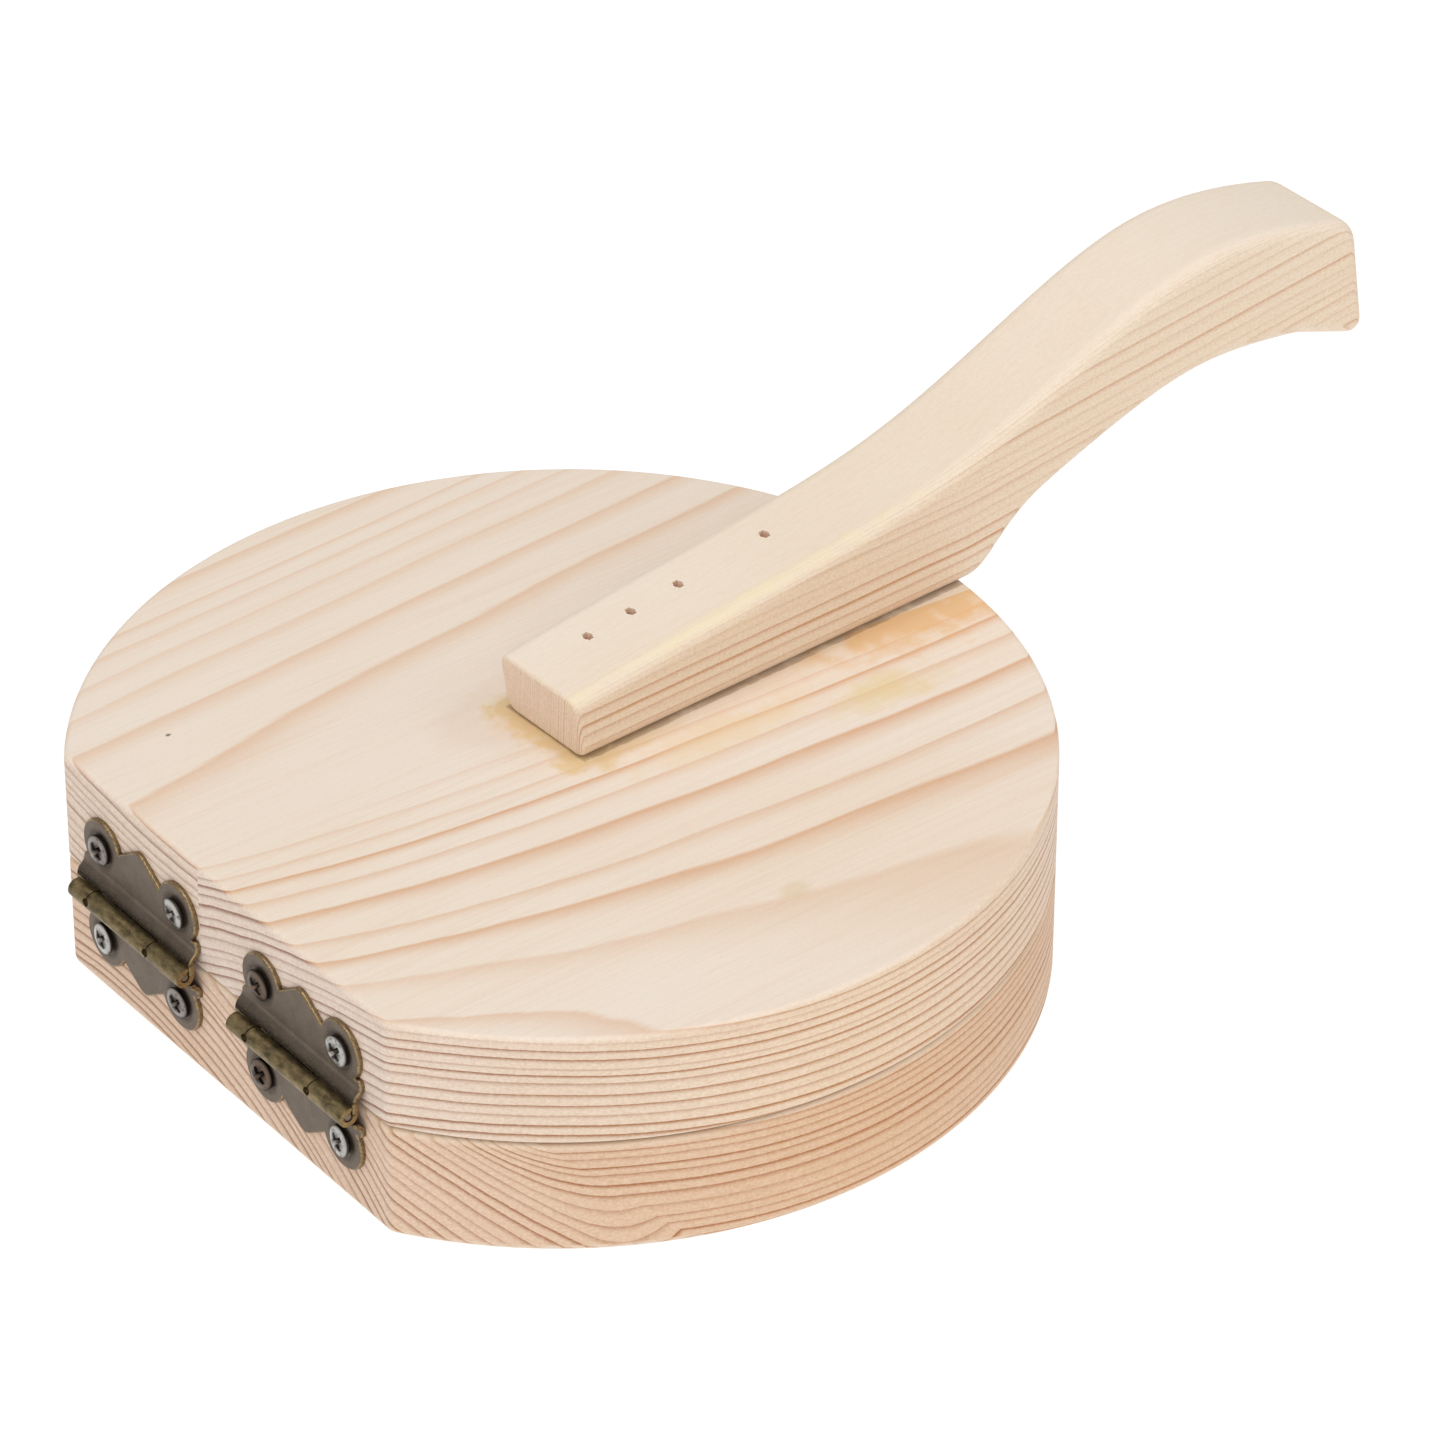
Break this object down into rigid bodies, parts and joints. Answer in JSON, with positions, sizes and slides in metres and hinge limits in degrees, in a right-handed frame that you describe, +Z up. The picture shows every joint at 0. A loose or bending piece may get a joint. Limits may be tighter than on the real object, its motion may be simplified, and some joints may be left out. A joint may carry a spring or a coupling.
{
  "type": "hinged dough press",
  "caption": "Hand press of two hinged round wooden boards with a bent lever handle on the lid.",
  "frame": {"origin": "centre of the round base board on its flat underside", "axes": "+X from the hinges to the tip of the handle, +Z up, +Y along the hinge pins"},
  "size_m": [0.2414, 0.16, 0.0836],
  "materials": {
    "pine_base": "planed and sanded, unfinished",
    "pine_lid": "planed and sanded, unfinished",
    "pine_handle": "bandsawn and sanded, unfinished",
    "aged_bronze": "antique bronze plate, worn bright on edges",
    "pin_steel": "drawn wire, dull",
    "zinc_screw": "bright zinc plate",
    "brad_steel": "dull, sunk below the wood"
  },
  "bodies": {
    "base": {"base_board": "pine_base", "right_hinge_base_leaf": "aged_bronze", "right_hinge_pin": "pin_steel", "right_hinge_base_screw_1": "zinc_screw", "right_hinge_base_screw_2": "zinc_screw", "left_hinge_base_leaf": "aged_bronze", "left_hinge_pin": "pin_steel", "left_hinge_base_screw_1": "zinc_screw", "left_hinge_base_screw_2": "zinc_screw"},
    "lid": {"lid_stave_back": "pine_lid", "lid_stave_front": "pine_lid", "handle": "pine_handle", "handle_brad_1": "brad_steel", "handle_brad_2": "brad_steel", "handle_brad_3": "brad_steel", "handle_brad_4": "brad_steel", "right_hinge_lid_leaf": "aged_bronze", "right_hinge_lid_screw_1": "zinc_screw", "right_hinge_lid_screw_2": "zinc_screw", "left_hinge_lid_leaf": "aged_bronze", "left_hinge_lid_screw_1": "zinc_screw", "left_hinge_lid_screw_2": "zinc_screw"}
  },
  "joints": [
    {"name": "lid_hinge", "type": "hinge", "parent": "base", "child": "lid", "pos_m": [-0.0697, 0, 0.021], "axis": [0, -1, 0], "range_deg": [0, 165]}
  ]
}
